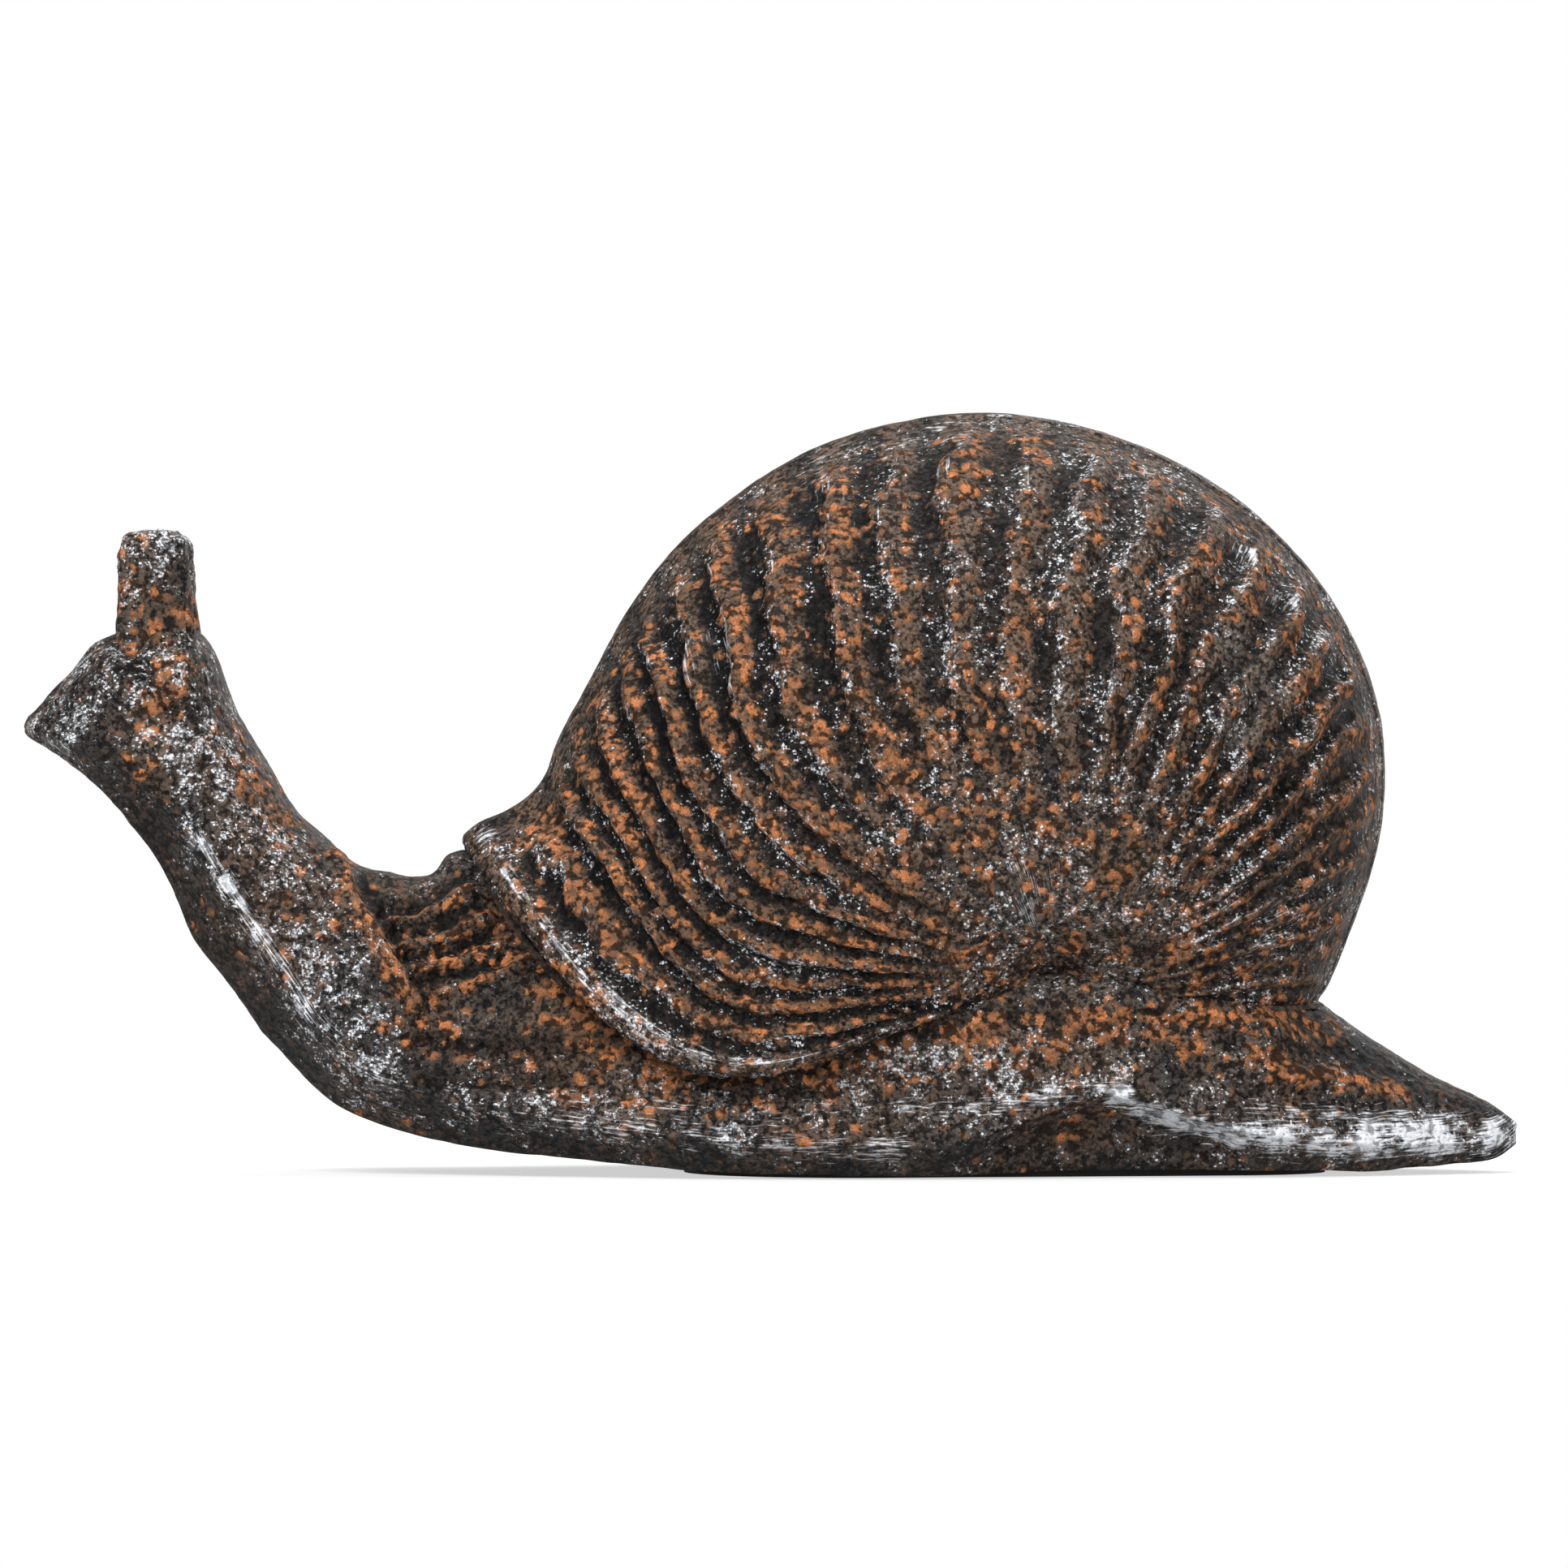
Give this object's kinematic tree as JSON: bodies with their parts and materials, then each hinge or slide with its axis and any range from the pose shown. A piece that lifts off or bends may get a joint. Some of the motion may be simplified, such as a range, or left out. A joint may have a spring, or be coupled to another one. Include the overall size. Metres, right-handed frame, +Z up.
{
  "type": "garden snail figurine",
  "caption": "Cast snail figurine with a raised neck, blunt tentacles and a tall ribbed shell bolted on its back; a screwed plate with a rubber pad closes the underside.",
  "frame": {"origin": "on the ground, under the middle of the figure's bounding box", "axes": "+X from the snout to the tail, +Y to the snail's right, +Z up"},
  "size_m": [0.4, 0.1452, 0.2051],
  "materials": {
    "body_iron": "black ground with rust-coloured dabs and silver dry brushing on its edges",
    "shell_iron": "black ground with rust-coloured dabs and silver dry brushing on the ribs",
    "tentacle_iron": "black ground with rust-coloured dabs and silver edges",
    "filler": "matt dark filler",
    "fastener_steel": "zinc plated",
    "plate_steel": "matt black paint",
    "pad_rubber": "matt black rubber"
  },
  "bodies": {
    "root": {"body_casting": "body_iron", "shell_casting": "shell_iron", "joint_filler": "filler", "tentacle_left": "tentacle_iron", "tentacle_right": "tentacle_iron", "tentacle_pins": "fastener_steel", "shell_bolts": "fastener_steel", "shell_washers": "fastener_steel", "base_plate": "plate_steel", "base_plate_screws": "fastener_steel", "rubber_base_pad": "pad_rubber"}
  },
  "joints": []
}
